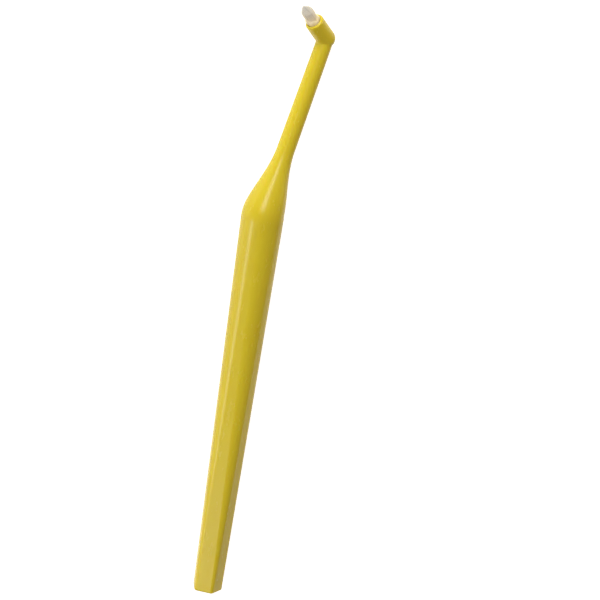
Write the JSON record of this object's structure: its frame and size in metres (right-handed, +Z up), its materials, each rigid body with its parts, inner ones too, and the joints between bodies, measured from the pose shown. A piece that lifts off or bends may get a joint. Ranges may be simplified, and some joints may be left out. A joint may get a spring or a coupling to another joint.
{
  "type": "single tuft toothbrush",
  "caption": "Slim toothbrush with a faceted tapering handle, a bent neck and a small round head that holds one pointed bristle tuft.",
  "frame": {"origin": "middle of the grip's flat side that the brush lies on", "axes": "+Y along the brush from its flat end to the head, +Z up from the surface that it lies on"},
  "size_m": [0.0212, 0.1714, 0.0118],
  "materials": {
    "handle_plastic": "semi-gloss",
    "tuft_nylon": "translucent",
    "anchor_metal": "plain"
  },
  "bodies": {
    "root": {"handle": "handle_plastic", "anchor": "anchor_metal", "filament_01": "tuft_nylon", "filament_02": "tuft_nylon", "filament_03": "tuft_nylon", "filament_04": "tuft_nylon", "filament_05": "tuft_nylon", "filament_06": "tuft_nylon", "filament_07": "tuft_nylon", "filament_08": "tuft_nylon", "filament_09": "tuft_nylon", "filament_10": "tuft_nylon", "filament_11": "tuft_nylon", "filament_12": "tuft_nylon", "filament_13": "tuft_nylon", "filament_14": "tuft_nylon", "filament_15": "tuft_nylon", "filament_16": "tuft_nylon", "filament_17": "tuft_nylon", "filament_18": "tuft_nylon", "filament_19": "tuft_nylon", "filament_20": "tuft_nylon", "filament_21": "tuft_nylon", "filament_22": "tuft_nylon", "filament_23": "tuft_nylon", "filament_24": "tuft_nylon", "filament_25": "tuft_nylon", "filament_26": "tuft_nylon", "filament_27": "tuft_nylon", "filament_28": "tuft_nylon", "filament_29": "tuft_nylon", "filament_30": "tuft_nylon", "filament_31": "tuft_nylon", "filament_32": "tuft_nylon", "filament_33": "tuft_nylon", "filament_34": "tuft_nylon", "filament_35": "tuft_nylon", "filament_36": "tuft_nylon", "filament_37": "tuft_nylon", "filament_38": "tuft_nylon", "filament_39": "tuft_nylon", "filament_40": "tuft_nylon", "filament_41": "tuft_nylon", "filament_42": "tuft_nylon", "filament_43": "tuft_nylon", "filament_44": "tuft_nylon", "filament_45": "tuft_nylon", "filament_46": "tuft_nylon", "filament_47": "tuft_nylon", "filament_48": "tuft_nylon", "filament_49": "tuft_nylon", "filament_50": "tuft_nylon", "filament_51": "tuft_nylon", "filament_52": "tuft_nylon", "filament_53": "tuft_nylon", "filament_54": "tuft_nylon", "filament_55": "tuft_nylon"}
  },
  "joints": []
}
